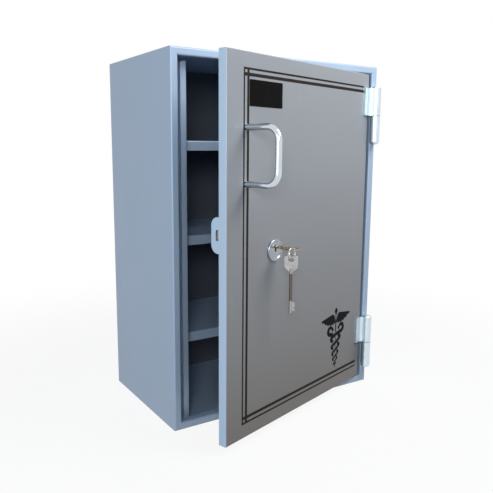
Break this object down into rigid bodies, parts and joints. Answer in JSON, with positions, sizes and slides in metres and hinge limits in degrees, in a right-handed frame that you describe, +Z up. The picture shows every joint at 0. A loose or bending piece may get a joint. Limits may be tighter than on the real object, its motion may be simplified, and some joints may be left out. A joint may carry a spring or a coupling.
{
  "type": "lockable medicine cabinet",
  "caption": "Steel wall cabinet with a lockable hinged door standing ajar, fixed shelves, a pull handle, and a key in its lock with a spare on a split ring.",
  "frame": {"origin": "middle of the carcass's bottom face, where the cabinet stands", "axes": "+Z up along the cabinet's height, the door's side faces -Y, +X to the hinges"},
  "size_m": [0.416, 0.4109, 0.6],
  "materials": {
    "painted_steel": "semi-gloss",
    "door_paint": "semi-gloss",
    "inner_paint": "semi-gloss",
    "hinge_zinc": "satin",
    "chrome": "polished",
    "screw_zinc": "satin",
    "golden_zinc": "satin",
    "nickel": "polished",
    "lock_steel": "satin"
  },
  "bodies": {
    "carcass": {"left_side": "painted_steel", "right_side": "painted_steel", "top_panel": "painted_steel", "bottom_panel": "painted_steel", "back_panel": "painted_steel", "bolt_pocket": "inner_paint", "upper_shelf": "inner_paint", "middle_shelf": "inner_paint", "lower_shelf": "inner_paint", "upper_hinge_frame_half": "hinge_zinc", "lower_hinge_frame_half": "hinge_zinc", "upper_hinge_pin": "lock_steel", "lower_hinge_pin": "lock_steel", "hinge_washers": "golden_zinc"},
    "door": {"door_pan": "door_paint", "door_cover": "inner_paint", "cover_screws": "screw_zinc", "upper_hinge_door_half": "hinge_zinc", "lower_hinge_door_half": "hinge_zinc", "handle": "chrome", "handle_screws": "screw_zinc", "handle_washers": "screw_zinc", "lock_rose": "chrome", "lock_case": "lock_steel", "lock_case_screws": "screw_zinc", "bolt_guide": "screw_zinc", "bolt_guide_screws": "screw_zinc"},
    "bolt": {"lock_bolt": "golden_zinc"},
    "key": {"key": "golden_zinc", "key_barrel": "golden_zinc"},
    "ring": {"split_ring": "nickel"},
    "spare": {"spare_key": "nickel"}
  },
  "joints": [
    {"name": "door_swing", "type": "hinge", "parent": "carcass", "child": "door", "pos_m": [0.199, -0.1345, 0.3], "axis": [0, 0, 1], "range_deg": [-17, 163]},
    {"name": "key_turn", "type": "hinge", "parent": "door", "child": "key", "pos_m": [-0.06972, -0.21666, 0.304], "axis": [0.2924, -0.9563, 0], "range_deg": [0, 90]},
    {"name": "bolt_slide", "type": "slide", "parent": "door", "child": "bolt", "axis": [-0.9563, -0.2924, 0], "range_m": [0, 0.01131]},
    {"name": "ring_turn", "type": "hinge", "parent": "key", "child": "ring", "pos_m": [-0.06812, -0.24388, 0.30292], "axis": [0.2924, -0.9563, 0], "range_deg": [-90, 0]},
    {"name": "spare_key_swing", "type": "hinge", "parent": "ring", "child": "spare", "pos_m": [-0.06935, -0.24351, 0.29038], "axis": [0.9563, 0.2924, 0], "range_deg": [-20, 15]}
  ],
  "couplings": [
    {"joint": "bolt_slide", "follows": "key_turn", "m_per_rad": 0.0072025},
    {"joint": "ring_turn", "follows": "key_turn", "ratio": -1}
  ]
}
